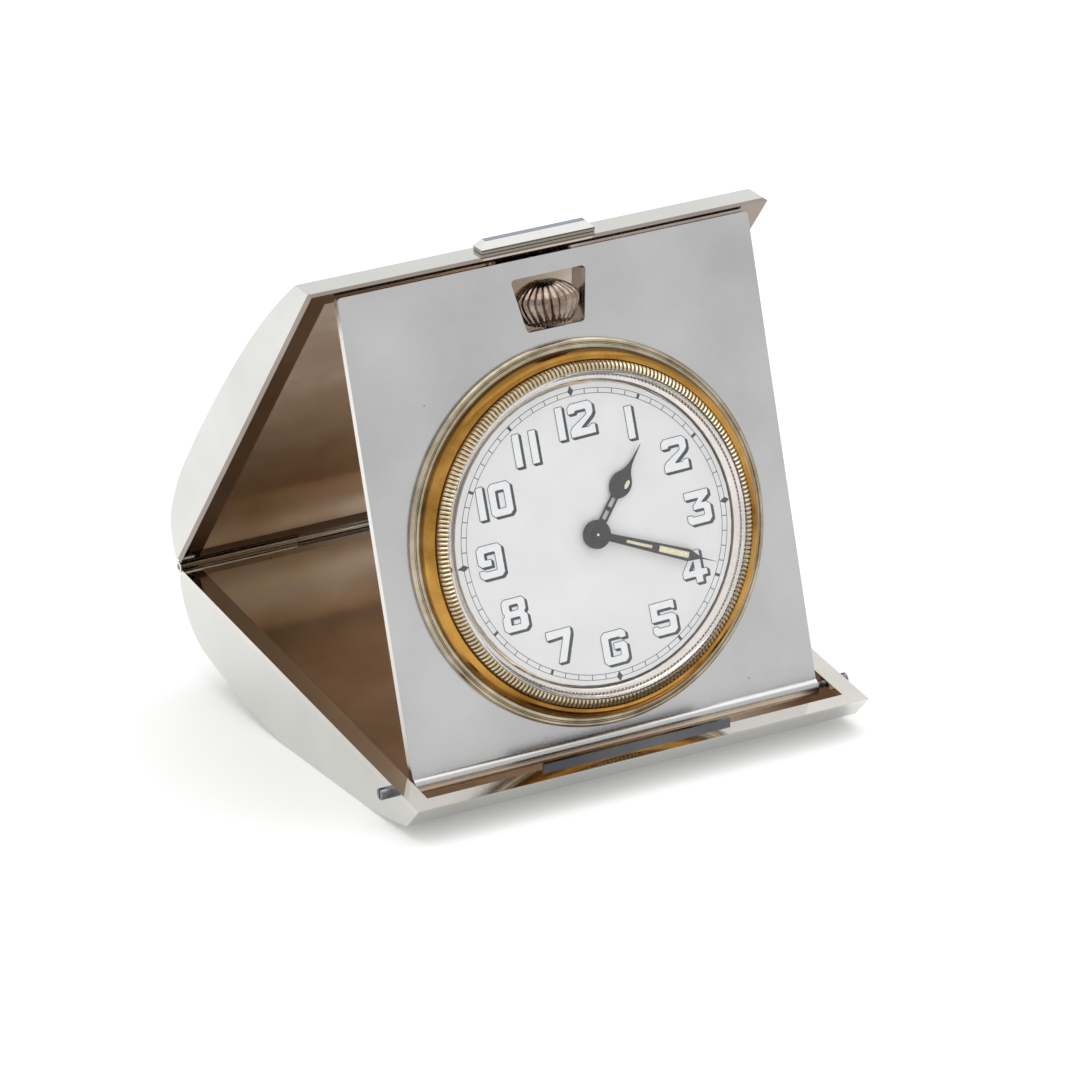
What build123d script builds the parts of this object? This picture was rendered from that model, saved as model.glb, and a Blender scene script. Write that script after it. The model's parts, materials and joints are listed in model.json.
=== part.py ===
from build123d import *
import math
import os

# A folding travel clock: two half shells on a barrel hinge and a square clock plate that stands between them.
# Sizes are in millimetres and angles in degrees. A run is measured from the hinge along the rim.

# Shells
shell_width = 58.0
shell_length = 66.3          # hinge axis to front edge, along the rim
wall = 0.8                   # sheet of the shells and thickness of the rim frames
land_side = 2.25             # width of the flat rim at the sides
land_front = 2.3             # width of the flat rim at the front
lower_belly = (0.332 * shell_length, 9.75)   # the lower shell's outline: run, and depth under the rim
lower_heel = (0.1086 * shell_length, 8.3)
lid_shoulder = (0.6335 * shell_length, 6.5)  # the lid's outline: run, and height over the rim
lid_crest = (0.211 * shell_length, 7.15)
lid_heel = (0.0754 * shell_length, 5.8)
lid_front_slope = 12.5
hinge_set = 0.1              # the shells start this far in front of the hinge axis
nose_depth = 3.4             # height of the slanted front edge
nose_run = 3.0               # how far the slanted front edge runs back
foot_start = 0.513 * shell_length            # the flat that the clock stands on
foot_end = 0.754 * shell_length
foot_depth = 9.1             # under the rim where it starts
foot_slope = 8.4             # angle of that flat to the rim
lid_angle = 52.75            # opening between lid and lower shell as it stands

# Barrel hinge
hinge_radius = 0.75
hinge_pin_radius = 0.35
hinge_clearance = 0.25       # between the barrel and the shells
knuckle_length = 0.462 * shell_width         # the lid's middle knuckle
knuckle_gap = 0.1
hinge_strip = 0.8            # rim strip beside the barrel
hinge_web_gap = 0.05
pin_clearance = 0.02

# Clock plate
plate_side_gap = 2.9         # between the plate's side and the outside of the shell
plate_width = shell_width - 2 * plate_side_gap
pivot_set_back = 7.65        # pivot to the front edge of the lower shell
pivot_from_hinge = shell_length - pivot_set_back
plate_top_gap = 2.15         # between the folded plate's top edge and the hinge axis
plate_height = pivot_from_hinge - plate_top_gap
plate_thickness = 1.0
plate_angle = 70.86          # to the rim of the lower shell
plate_corner = 0.5
pivot_depth = 1.3            # under the rim
pivot_barrel_radius = 1.05
pivot_pin_radius = 0.45
pivot_head_radius = 0.7
pivot_head_length = 1.2
pivot_slot = 0.24            # saw cut across the pin's head
pivot_clearance = 0.05
pivot_reach = 5.0            # how far a pin goes into the plate's barrel
dial_height = 0.426 * plate_height           # pivot to the middle of the dial
plate_top = plate_height - dial_height       # top edge over the middle of the dial

# Case, bezel, glass and dial: radii grow out of the case, heights are over the plate's front face
round_sides = 48             # flat sides of the large rounds, which keeps them light
case_radius = 0.339 * min(plate_width, 0.924 * plate_height)
case_wall = 0.7
case_fit = 0.1
case_inner = case_radius - case_wall
case_ledge = 0.5
case_ledge_height = 0.4
flange_radius = case_radius + 4.75
flange_height = 0.7
flange_bevel = 0.3
gilt_radius = case_radius + 3.7
gilt_height = 2.3
gilt_outline = ((0.0, 0.0), (0.12, 0.5), (0.35, 0.85), (0.65, 1.0))     # shares of its width and of its rise
reed_radius = case_radius + 2.3
reed_groove = 0.992          # the grooves' radius, as a share of the ribs'
reed_step = 2.0              # height where the reeded slope starts
reed_crest = case_radius + 1.55
reed_inner = case_radius + 0.1
reed_height = 3.2
reed_count = 80
gilt_gap = 0.1
glass_radius = case_radius + 1.2
glass_edge = 2.5
glass_rim = 0.5
glass_rise = 1.7
glass_thickness = 0.8
dome_shares = (1.0, 0.75, 0.45, 0.1)         # where the dome's bands meet, as shares of its radius
dial_radius = case_radius - 0.2
dial_back = 1.2
dial_thickness = 0.6
dial_hole_fit = 0.2

# Hands: shares are of a hand's length
hour_hand_level = 2.05
minute_hand_level = 2.4
hand_thickness = 0.15
hand_boss = 1.65
hour_hand_length = 0.661 * dial_radius
hour_hand_angle = 38.2       # clockwise from twelve, about nineteen past one
hour_outline = ((0.5, 0.415), (1.36, 0.54), (0.8, 0.666), (0.32, 0.74), (0.14, 0.813))  # half-width and share
hour_slots = ((0.165, 0.26), (0.3, 0.4))
hour_slot_half = 0.27
minute_hand_length = 0.909 * dial_radius
minute_hand_angle = 113.5
minute_outline = ((0.4, 0.0), (0.72, 0.75), (0.1, 0.85), (0.0, 1.0))   # half-width and share
minute_slots = ((0.235, 0.45, 0.18), (0.505, 0.755, 0.36))
hand_cover = 0.1             # the cannon pinion's end over the minute hand

# Movement, closed but for the setting lever: heights are over the plate's front face
movement_fit = 0.1
movement_radius = case_inner - movement_fit
block_radius = movement_radius - 0.7
main_front = 0.2
main_back = -0.9
block_back = -3.2
cover_inside = -3.7
cover_outside = -4.2
cover_rim = -3.3
cover_lip = 0.6
cover_lip_wall = 0.35
cover_lip_fit = 0.05
cover_shoulder = ((0.35, 0.5), (1.2, 0.85), (2.7, 1.0))   # inset, and share of the cover's depth
stem_level = -1.7
stem_radius = 0.45
stem_hole_fit = 0.15
stem_inner = case_inner - 6.1
keyless_width = 2.8          # slot in the movement for the setting lever
keyless_inner = case_inner - 2.1
lever_span = (case_inner - 1.8, case_inner - 1.4)
lever_half = 1.2
lever_low, lever_high = -0.6, 0.7            # from the stem's axis
running_fit = 0.05

# Motion work under the dial
centre_arbor_radius = 0.4
centre_arbor_depth = 1.0     # how far the arbor goes into the movement
cannon_radius = 0.8
hour_pipe = 1.1
motion_distance = 0.217 * case_radius
tooth_addendum, tooth_dedendum = 0.8, 1.0    # in modules
tooth_root = 0.3             # half a tooth's width at its root, as a share of the pitch
cannon_teeth, minute_teeth = 12, 36
minute_leaves, hour_teeth = 10, 40
cannon_span, leaf_span, hour_span = (0.3, 0.6), (0.6, 1.0), (0.72, 0.95)
minute_post_radius = 0.25
minute_post_depth = 0.9
minute_post_angle = -135.0

# Crown window in the plate, and the winding crown that stands in it
window_gap = 1.55            # flange to window
window_margin = 2.13         # window to the plate's top edge
window_bottom = flange_radius + window_gap
window_height = plate_top - window_margin - window_bottom
window_top_width = 9.6
window_bottom_width = 7.3
window_lining = 0.5
window_box_depth = 2.6
window_corner = 0.5
crown_under, crown_over = 0.3, 0.8
crown_bottom = window_bottom + crown_under
crown_height = window_height - crown_under - crown_over
crown_radius = 4.0
crown_flutes = 24
crown_groove = 0.9           # the grooves' radius, as a share of the ribs'
# shares of the crown's height and radius
crown_outline = ((0.0, 0.56), (0.26, 0.86), (0.58, 1.0), (0.86, 0.78), (1.0, 0.3))
crown_bore_share = 0.45      # depth of the stem's bore, as a share of the crown's height

# Latch on the lid's front and the tongue that it catches
latch_length = 14.4
latch_width = 2.2
latch_height = 1.3
latch_waist = 0.52           # height where the latch's sides start to slope
latch_top = 1.0              # width of its flat top
latch_middle = 0.3           # along the hinge, at rest
latch_travel = 1.2
latch_bevel = 0.8
latch_stem, latch_stem_width = 3.0, 0.8
latch_depth = 1.15           # from the nose to the hook inside
latch_clearance = 0.05
latch_root = 0.2             # how far the stem goes into the bar
latch_place = 2.9            # along the nose from the lid's front edge
hook_length, hook_width, hook_thickness = 18.0, 1.0, 0.45
tongue_length = 24.0
tongue_rise = 0.6
tongue_thickness = 0.45

os.makedirs("parts", exist_ok=True)


# Helpers

from_low = (Align.CENTER, Align.CENTER, Align.MIN)


def disc(radius, low, high, x=0.0, y=0.0):
    return Pos(x, y, low) * Cylinder(radius, high - low, align=from_low)


def block(x0, x1, y0, y1, z0, z1):
    middle = Pos((x0 + x1) / 2, (y0 + y1) / 2, (z0 + z1) / 2)
    return middle * Box(x1 - x0, y1 - y0, z1 - z0)


def rod_x(radius, x0, x1, y=0.0, z=0.0):
    return Pos(x0, y, z) * Rot(0, 90, 0) * Cylinder(radius, x1 - x0, align=from_low)


def rod_y(radius, y0, y1, x=0.0, z=0.0):
    return Pos(x, y0, z) * Rot(-90, 0, 0) * Cylinder(radius, y1 - y0, align=from_low)


def polar(distance, angle):
    return (distance * math.cos(math.radians(angle)), distance * math.sin(math.radians(angle)))


def skinned(sections):
    # a solid with flat faces through outlines that have the same number of points
    faces = [Face(Wire.make_polygon(sections[0])), Face(Wire.make_polygon(sections[-1]))]
    for low, high in zip(sections, sections[1:]):
        for index in range(len(low)):
            after = (index + 1) % len(low)
            faces.append(Face(Wire.make_polygon([low[index], low[after], high[after], high[index]])))
    return Solid(Shell(faces))


def turned(*outline):
    # a large round from its outline of radius and height, with flat sides
    pitch = 360 / round_sides
    return skinned([[(*polar(radius, side * pitch), height) for side in range(round_sides)]
                    for radius, height in outline])


def drum(radius, low, high):
    return turned((radius, low), (radius, high))


def ribbed(count, groove, *outline):
    # the same with sharp ribs, and grooves at this share of the radius
    pitch = 360 / count
    sections = []
    for radius, height in outline:
        section = []
        for rib in range(count):
            section.append((*polar(radius, rib * pitch), height))
            section.append((*polar(groove * radius, (rib + 0.5) * pitch), height))
        sections.append(section)
    return skinned(sections)


def toothed(teeth, tip, root, low, high, place=(0.0, 0.0), phase=0.0):
    # a disc with pointed teeth, one of them at the angle given by phase
    pitch = 360 / teeth
    points = []
    for tooth in range(teeth):
        angle = phase + tooth * pitch
        side = tooth_root * pitch
        points += [polar(root, angle - side), polar(tip, angle), polar(root, angle + side)]
    outline = make_face(Polyline(*points, close=True))
    return Pos(place[0], place[1], low) * extrude(outline, high - low)


def gear(teeth, mate, low, high, place=(0.0, 0.0), phase=0.0):
    # a wheel that meets one with the teeth of its mate, at the motion work's distance
    pitch_radius = motion_distance * teeth / (teeth + mate)
    module = 2 * pitch_radius / teeth
    tip, root = pitch_radius + tooth_addendum * module, pitch_radius - tooth_dedendum * module
    return toothed(teeth, tip, root, low, high, place, phase)


# Shells, in the frame of the hinge: x to the right, y to the back, z out of the rim plane

def point(run, depth):
    return (0, -run, -depth)


def lower_outline():
    # worked from the standing flat back to the hinge and forward to the nose, each arc tangent to the last
    end_depth = foot_depth - (foot_end - foot_start) * math.tan(math.radians(foot_slope))
    foot = Line(point(foot_start, foot_depth), point(foot_end, end_depth))
    belly = TangentArc(foot @ 0, point(*lower_belly), tangent=-(foot % 0))
    heel = TangentArc(belly @ 1, point(*lower_heel), tangent=belly % 1)
    back = TangentArc(heel @ 1, point(hinge_set, 0), tangent=heel % 1)
    front = TangentArc(foot @ 1, point(shell_length - nose_run, nose_depth), tangent=foot % 1)
    nose = Line(front @ 1, point(shell_length, 0))
    rim = Line(nose @ 1, back @ 1)
    return [foot, belly, heel, back, front, nose, rim]


def lid_outline():
    nose = Line(point(shell_length, 0), point(shell_length - nose_run, nose_depth))
    slope = math.radians(lid_front_slope)
    front = TangentArc(nose @ 1, point(*lid_shoulder), tangent=Vector(0, math.cos(slope), -math.sin(slope)))
    crest = TangentArc(front @ 1, point(*lid_crest), tangent=front % 1)
    heel = TangentArc(crest @ 1, point(*lid_heel), tangent=crest % 1)
    back = TangentArc(heel @ 1, point(hinge_set, 0), tangent=heel % 1)
    rim = Line(back @ 1, nose @ 0)
    return [nose, front, crest, heel, back, rim]


hinge_hollow = rod_x(hinge_radius + hinge_clearance, -shell_width, shell_width)
rim_slab = block(-shell_width, shell_width, -2 * shell_length, shell_length, -wall, 0)
opening_half = shell_width / 2 - land_side
strip_edge = hinge_radius + hinge_clearance + hinge_strip
rim_opening = block(-opening_half, opening_half, -shell_length + land_front, -strip_edge, -wall, 0)


def tray_and_rim(edges):
    outline = make_face(edges)
    outside = Pos(-shell_width / 2, 0, 0) * extrude(outline, shell_width, dir=(1, 0, 0))
    hollow = offset(outline, -wall, kind=Kind.ARC)
    inside = Pos(-shell_width / 2 + wall, 0, 0) * extrude(hollow, shell_width - 2 * wall, dir=(1, 0, 0))
    tray = outside - inside - rim_slab - hinge_hollow
    rim = (outside & rim_slab) - rim_opening - hinge_hollow
    return tray, rim


lower_shell, lower_rim = tray_and_rim(lower_outline())
lid_shell, lid_rim = tray_and_rim(lid_outline())

# The hinge: outer knuckles on the lower shell, the middle one on the lid, each with a web to its rim strip
knuckle_end = shell_width / 2
knuckle_half = knuckle_length / 2


def knuckle(x0, x1, leaf_x0, leaf_x1):
    web = block(leaf_x0, leaf_x1, -strip_edge, -hinge_radius / 2, -hinge_radius / 2, -hinge_web_gap)
    tube = rod_x(hinge_radius, x0, x1) + (web & hinge_hollow)
    return tube - rod_x(hinge_pin_radius + pin_clearance, x0, x1)


lower_knuckles = Compound(children=[
    knuckle(-knuckle_end, -knuckle_half - knuckle_gap, -opening_half, -knuckle_half - knuckle_gap),
    knuckle(knuckle_half + knuckle_gap, knuckle_end, knuckle_half + knuckle_gap, opening_half),
])
lid_knuckle = knuckle(-knuckle_half, knuckle_half, -knuckle_half, knuckle_half)
hinge_pin = rod_x(hinge_pin_radius, -knuckle_end, knuckle_end)

# Front edges: the latch rides on the lid's slanted nose, the catch tongue stands behind the lower shell's lip
nose_length = math.hypot(nose_run, nose_depth)
nose_along = Vector(0, nose_run, -nose_depth) / nose_length
nose_out = Vector(0, -nose_depth, -nose_run) / nose_length
latch_origin = Vector(latch_middle, -shell_length, 0) + nose_along * latch_place
latch_plane = Plane(origin=latch_origin, x_dir=(1, 0, 0), z_dir=nose_out)


def bevelled(half, flat_half):
    # the latch bar's outline from one side: upright to its waist, then sloping in to its flat top
    right = [(half, latch_clearance), (half, latch_waist), (flat_half, latch_height)]
    left = [(-x, y) for x, y in reversed(right)]
    return make_face(Polyline(*right, *left, close=True))


def latch_bar():
    bar = extrude(Plane.YZ * bevelled(latch_width / 2, latch_top / 2), latch_length / 2, both=True)
    lengthwise = bevelled(latch_length / 2, latch_length / 2 - latch_bevel)
    bar = bar & extrude(Plane.XZ * lengthwise, latch_width, both=True)
    stem_half, stem_side = latch_stem / 2, latch_stem_width / 2
    stem_end = latch_clearance + latch_root
    return bar + block(-stem_half, stem_half, -stem_side, stem_side, -latch_depth, stem_end)


latch_slide = latch_plane * latch_bar()
latch_hook = latch_plane * block(-hook_length / 2, hook_length / 2, -hook_width / 2, hook_width / 2,
                                 -latch_depth - hook_thickness, -latch_depth)
slot_left = -latch_stem / 2 - latch_travel - latch_clearance
slot_side = latch_stem_width / 2 + latch_clearance
slot_right = latch_stem / 2 + latch_clearance
lid_shell -= latch_plane * block(slot_left, slot_right, -slot_side, slot_side, -2 * wall, wall)
tongue_front = -shell_length + land_front
catch_tongue = block(-tongue_length / 2, tongue_length / 2, tongue_front, tongue_front + tongue_thickness,
                     -wall, tongue_rise)


def pivot_pin(side):
    outside = shell_width / 2
    inner = plate_width / 2 - pivot_reach
    end = outside + pivot_head_length
    y, z = -pivot_from_hinge, -pivot_depth
    pin = rod_x(pivot_pin_radius, inner, outside, y, z)
    head = rod_x(pivot_head_radius, outside, end, y, z)
    head -= block(outside + pivot_head_length / 2, end, y - pivot_slot / 2, y + pivot_slot / 2,
                  z - pivot_head_radius, z + pivot_head_radius)
    return pin + head if side > 0 else mirror(pin + head, Plane.YZ)


plate_pins = Compound(children=[pivot_pin(1), pivot_pin(-1)])
for side in (-1, 1):
    x0, x1 = sorted((side * (shell_width / 2 - 2 * wall), side * shell_width))
    lower_shell -= rod_x(pivot_pin_radius, x0, x1, -pivot_from_hinge, -pivot_depth)


# The clock plate, in the frame of the dial: x to the right, y up the plate, z out of its front face

def window_outline(grow):
    bottom, top = window_bottom - grow, window_bottom + window_height + grow
    low_half, high_half = window_bottom_width / 2 + grow, window_top_width / 2 + grow
    corners = [(-low_half, bottom), (low_half, bottom), (high_half, top), (-high_half, top)]
    outline = make_face(Polyline(*corners, close=True))
    return fillet(outline.vertices(), window_corner + grow)


def face_plate_solid():
    half, bottom = plate_width / 2, -dial_height
    sheet = block(-half, half, bottom, plate_top, -plate_thickness, 0)
    upright = sheet.edges().filter_by(Axis.Z).sort_by(Axis.Y)[-2:]
    sheet = fillet(upright, plate_corner)
    middle = -plate_thickness / 2
    sheet += rod_x(pivot_barrel_radius, -half, half, bottom, middle)
    for side in (-1, 1):
        x0, x1 = sorted((side * (half - pivot_reach - pivot_clearance), side * (half + wall)))
        sheet -= rod_x(pivot_pin_radius + pivot_clearance, x0, x1, bottom, middle)
    sheet -= drum(case_radius + case_fit, -2 * plate_thickness, plate_thickness)
    return sheet - extrude(Pos(0, 0, -2 * plate_thickness) * window_outline(0), 4 * plate_thickness)


face_plate = face_plate_solid()
box_low = -plate_thickness - window_box_depth
window_box = extrude(Pos(0, 0, box_low) * window_outline(window_lining), window_box_depth)
window_box -= extrude(Pos(0, 0, box_low) * window_outline(0), window_box_depth)
window_box -= rod_y(2 * stem_radius, 0, window_bottom + window_lining, 0, stem_level)

bezel_flange = turned((flange_radius, 0), (flange_radius, flange_height - flange_bevel),
                      (flange_radius - flange_bevel, flange_height))
bezel_flange -= drum(case_radius + case_fit, 0, flange_height)


def gilt_ring():
    inner = reed_radius + gilt_gap
    width, rise = gilt_radius - inner, gilt_height - flange_height
    profile = [(gilt_radius - inset * width, flange_height + share * rise) for inset, share in gilt_outline]
    return turned(*profile) - drum(inner, flange_height, gilt_height)


gilt_bezel = gilt_ring()
reeded_bezel = ribbed(reed_count, reed_groove, (reed_radius, flange_height), (reed_radius, reed_step),
                      (reed_crest, reed_height))
reeded_bezel -= drum(reed_inner, flange_height, reed_height)
reeded_bezel -= drum(glass_radius, glass_edge, reed_height)


def dome(radius, edge):
    return [(share * radius, edge + glass_rise * (1 - share ** 2)) for share in dome_shares]


crystal = turned((glass_radius, glass_edge), (glass_radius, glass_edge + glass_rim),
                 *dome(glass_radius - glass_rim, glass_edge + glass_thickness))
crystal -= turned(*dome(reed_inner, glass_edge))
dial_front = dial_back + dial_thickness
dial = drum(dial_radius, dial_back, dial_front) - disc(hour_pipe + dial_hole_fit, dial_back, dial_front)
case_ring = drum(case_radius, cover_rim, dial_back) - drum(case_inner, cover_rim, main_front)
case_ring -= drum(case_inner, main_front + case_ledge_height, dial_back)
case_ring -= drum(case_inner - case_ledge, main_front, main_front + case_ledge_height)
case_ring -= rod_y(stem_radius + stem_hole_fit, 0, 2 * case_radius, 0, stem_level)


def cover_solid():
    depth = cover_rim - cover_outside
    shoulder = [(case_radius - inset, cover_rim - share * depth) for inset, share in cover_shoulder]
    lip_radius = case_inner - cover_lip_fit
    cover = turned((case_radius, cover_rim), *shoulder) + drum(lip_radius, cover_rim, cover_rim + cover_lip)
    return cover - drum(lip_radius - cover_lip_wall, cover_inside, cover_rim + cover_lip)


back_cover = cover_solid()

# Movement: a main plate under the dial and a closed block behind it, with a slot for the setting lever
minute_post = polar(motion_distance, minute_post_angle)
arbor_bore = centre_arbor_radius + running_fit
arbor_end = main_back - centre_arbor_depth


main_plate = drum(movement_radius, main_back, main_front) - disc(arbor_bore, main_back, main_front)
main_plate -= disc(minute_post_radius + running_fit, main_back, main_front, *minute_post)
movement_block = drum(block_radius, block_back, main_back) - disc(arbor_bore, arbor_end, main_back)
keyless_half = keyless_width / 2
movement_block -= block(-keyless_half, keyless_half, keyless_inner, case_radius, block_back, main_back)
movement_block -= rod_y(stem_radius + running_fit, stem_inner, case_radius, 0, stem_level)

# Motion work under the dial, and the hands
cannon_top = minute_hand_level + hand_thickness + hand_cover
centre_arbor = disc(centre_arbor_radius, arbor_end, minute_hand_level)
cannon_pinion = gear(cannon_teeth, minute_teeth, *cannon_span, phase=minute_post_angle)
cannon_pinion += disc(cannon_radius, main_front + running_fit, cannon_top)
cannon_pinion -= disc(centre_arbor_radius, main_front, minute_hand_level)
minute_facing = minute_post_angle + 180
minute_wheel = gear(minute_teeth, cannon_teeth, *cannon_span, minute_post, minute_facing + 180 / minute_teeth)
minute_wheel += gear(minute_leaves, hour_teeth, *leaf_span, minute_post, minute_facing)
minute_wheel += disc(minute_post_radius, cannon_span[0] - minute_post_depth, cannon_span[0], *minute_post)
hour_wheel = gear(hour_teeth, minute_leaves, *hour_span, phase=minute_post_angle + 180 / hour_teeth)
hour_wheel += disc(hour_pipe, hour_span[0], hour_hand_level + hand_thickness)
hour_wheel -= disc(cannon_radius + running_fit, hour_span[0], hour_hand_level + hand_thickness)


def hour_hand_solid():
    # a pear on a slotted shank, drawn in to a needle
    length = hour_hand_length
    pear, bulge, neck, waist, needle = [(half, share * length) for half, share in hour_outline]
    foot = (pear[0], hour_pipe)
    side = [Line(foot, pear), ThreePointArc(pear, bulge, neck), ThreePointArc(neck, waist, needle),
            Line(needle, (0, length)), Line((0, length), (0, foot[1])), Line((0, foot[1]), foot)]
    half = extrude(make_face(side), hand_thickness)
    hand = half + mirror(half, Plane.YZ) + disc(hand_boss, 0, hand_thickness)
    for start, end in hour_slots:
        hand -= block(-hour_slot_half, hour_slot_half, start * length, end * length, 0, hand_thickness)
    return hand - disc(hour_pipe, 0, hand_thickness)


def minute_hand_solid():
    # a slotted baton that widens outward, with a needle point
    length = minute_hand_length
    right = [(half, share * length) for half, share in minute_outline]
    left = [(-x, y) for x, y in reversed(right[:-1])]
    hand = extrude(make_face(Polyline(*right, *left, close=True)), hand_thickness)
    hand += disc(hand_boss, 0, hand_thickness)
    for start, end, half in minute_slots:
        hand -= block(-half, half, start * length, end * length, 0, hand_thickness)
    return hand - disc(cannon_radius, 0, hand_thickness)


hour_hand = Pos(0, 0, hour_hand_level) * Rot(0, 0, -hour_hand_angle) * hour_hand_solid()
minute_hand = Pos(0, 0, minute_hand_level) * Rot(0, 0, -minute_hand_angle) * minute_hand_solid()

# Winding crown and its stem, which runs up the plate
crown_bore_end = crown_bottom + crown_bore_share * crown_height


def on_stem(height, shape):
    return Pos(0, height, stem_level) * Rot(-90, 0, 0) * shape


onion = [(radius * crown_radius, height * crown_height) for height, radius in crown_outline]
winding_crown = on_stem(crown_bottom, ribbed(crown_flutes, crown_groove, *onion))
winding_crown -= rod_y(stem_radius, crown_bottom, crown_bore_end, 0, stem_level)
winding_stem = rod_y(stem_radius, stem_inner, crown_bore_end, 0, stem_level)
setting_lever = block(-lever_half, lever_half, *lever_span, stem_level + lever_low, stem_level + lever_high)
setting_lever -= rod_y(stem_radius + running_fit, *lever_span, 0, stem_level)

# Placing: the hinge frame stands on the flat of the lower shell, the lid leans open and the plate leans back
stand = Rot(foot_slope, 0, 0)
lid_place = Rot(-lid_angle, 0, 0)
plate_place = Pos(0, -pivot_from_hinge, -pivot_depth) * Rot(plate_angle, 0, 0)
plate_place = plate_place * Pos(0, dial_height, plate_thickness / 2)

base_nodes = {
    "lower_shell": lower_shell, "lower_rim": lower_rim, "lower_knuckles": lower_knuckles,
    "hinge_pin": hinge_pin, "plate_pins": plate_pins, "catch_tongue": catch_tongue,
}
lid_nodes = {
    "lid_shell": lid_shell, "lid_rim": lid_rim, "lid_knuckle": lid_knuckle, "latch_slide": latch_slide,
    "latch_hook": latch_hook,
}
plate_nodes = {
    "face_plate": face_plate, "window_box": window_box, "bezel_flange": bezel_flange,
    "gilt_bezel": gilt_bezel, "reeded_bezel": reeded_bezel, "crystal": crystal, "dial": dial,
    "case_ring": case_ring, "back_cover": back_cover, "main_plate": main_plate,
    "movement_block": movement_block, "centre_arbor": centre_arbor, "cannon_pinion": cannon_pinion,
    "minute_wheel": minute_wheel, "hour_wheel": hour_wheel, "hour_hand": hour_hand,
    "minute_hand": minute_hand, "winding_crown": winding_crown, "winding_stem": winding_stem,
    "setting_lever": setting_lever,
}
foot_slope_angle = math.radians(foot_slope)
standing_height = foot_start * math.sin(foot_slope_angle) + foot_depth * math.cos(foot_slope_angle)
placed = {name: stand * shape for name, shape in base_nodes.items()}
placed.update({name: stand * lid_place * mirror(shape, Plane.XY) for name, shape in lid_nodes.items()})
placed.update({name: stand * plate_place * shape for name, shape in plate_nodes.items()})
front = min(shape.bounding_box().min.Y for shape in placed.values())
back = max(shape.bounding_box().max.Y for shape in placed.values())
floor_place = Pos(0, -(front + back) / 2, standing_height)
for name, shape in placed.items():
    export_step(floor_place * shape, f"parts/{name}.step")
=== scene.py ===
import json
import math
import bmesh
import bpy
from mathutils import Matrix, Vector


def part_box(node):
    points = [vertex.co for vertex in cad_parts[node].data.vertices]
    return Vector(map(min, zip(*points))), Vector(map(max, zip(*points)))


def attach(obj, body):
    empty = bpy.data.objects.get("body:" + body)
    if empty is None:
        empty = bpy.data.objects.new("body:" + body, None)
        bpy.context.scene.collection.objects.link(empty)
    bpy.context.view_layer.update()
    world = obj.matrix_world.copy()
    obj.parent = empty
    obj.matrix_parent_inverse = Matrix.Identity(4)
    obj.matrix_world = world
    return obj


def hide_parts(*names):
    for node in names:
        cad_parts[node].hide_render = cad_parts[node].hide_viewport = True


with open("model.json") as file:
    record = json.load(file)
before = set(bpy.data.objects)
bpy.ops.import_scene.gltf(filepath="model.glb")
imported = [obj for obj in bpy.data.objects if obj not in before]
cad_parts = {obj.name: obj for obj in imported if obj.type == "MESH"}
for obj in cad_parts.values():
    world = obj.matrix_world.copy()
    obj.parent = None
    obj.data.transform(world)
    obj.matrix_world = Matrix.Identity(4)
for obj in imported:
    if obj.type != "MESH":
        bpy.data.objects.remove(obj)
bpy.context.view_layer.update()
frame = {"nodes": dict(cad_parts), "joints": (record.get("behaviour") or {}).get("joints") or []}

# A folding silver travel clock that stands open, dressed over its solids.
# Lengths are written in millimetres and turned to metres where a piece is placed.

MM = 0.001
nodes = frame["nodes"]
joints = {joint["name"]: joint for joint in frame["joints"]}
scene = bpy.context.scene

# The dial's own frame: x to the right, y up the plate, z out of the plate's front face, in millimetres
plate_out = Vector(joints["minute_hand_turn"]["axis"])
plate_up = Vector(joints["crown_turn"]["axis"])
dial_centre = Vector(joints["minute_hand_turn"]["pos_m"])
plate_turn = Matrix((Vector((1, 0, 0)), plate_up, plate_out)).transposed().to_4x4()
dial_place = Matrix.Translation(dial_centre) @ plate_turn @ Matrix.Scale(MM, 4)

# Sizes on the plate that the solids also have
dial_front = 1.8
hour_hand_top = 2.2
minute_hand_top = 2.55
cannon_top = 2.65
stem_level = -1.7
dial_turn = math.radians(1.4)      # the dial sits a little askew in its case
hour_hand_angle = math.radians(38.2)
minute_hand_angle = math.radians(113.5)


# Colours and nodes

def linear(code):
    channels = [int(code[start:start + 2], 16) / 255 for start in (1, 3, 5)]
    return [c / 12.92 if c <= 0.04045 else ((c + 0.055) / 1.055) ** 2.4 for c in channels] + [1.0]


def add(tree, kind, inputs=None, **settings):
    # a node with its settings, and for each input a constant or the socket that feeds it
    node = tree.nodes.new(kind)
    for name, value in settings.items():
        setattr(node, name, value)
    for key, value in (inputs or {}).items():
        if isinstance(value, bpy.types.NodeSocket):
            tree.links.new(value, node.inputs[key])
        else:
            node.inputs[key].default_value = value
    return node


def new_material(name):
    material = bpy.data.materials.new(name)
    material.use_nodes = True
    material.node_tree.nodes.clear()
    return material, material.node_tree


def show(tree, shader):
    add(tree, "ShaderNodeOutputMaterial", {"Surface": shader.outputs[0]})


def ramp(tree, value, stops):
    # a colour ramp from pairs of position and hex colour
    node = add(tree, "ShaderNodeValToRGB", {"Fac": value})
    elements = node.color_ramp.elements
    while len(elements) < len(stops):
        elements.new(0.5)
    for element, (position, code) in zip(elements, stops):
        element.position = position
        element.color = linear(code)
    return node.outputs["Color"]


def arithmetic(tree, operation, *values):
    return add(tree, "ShaderNodeMath", dict(enumerate(values)), operation=operation).outputs[0]


def mixed(tree, share, first, second):
    # the first colour where the share is 0, and the second where it is 1
    inputs = {"Factor": share, 6: first, 7: second}
    return add(tree, "ShaderNodeMix", inputs, data_type="RGBA").outputs[2]


def rescaled(tree, value, low, high, to_low=0.0, to_high=1.0):
    inputs = {"Value": value, "From Min": low, "From Max": high, "To Min": to_low, "To Max": to_high}
    return add(tree, "ShaderNodeMapRange", inputs).outputs[0]


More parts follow.
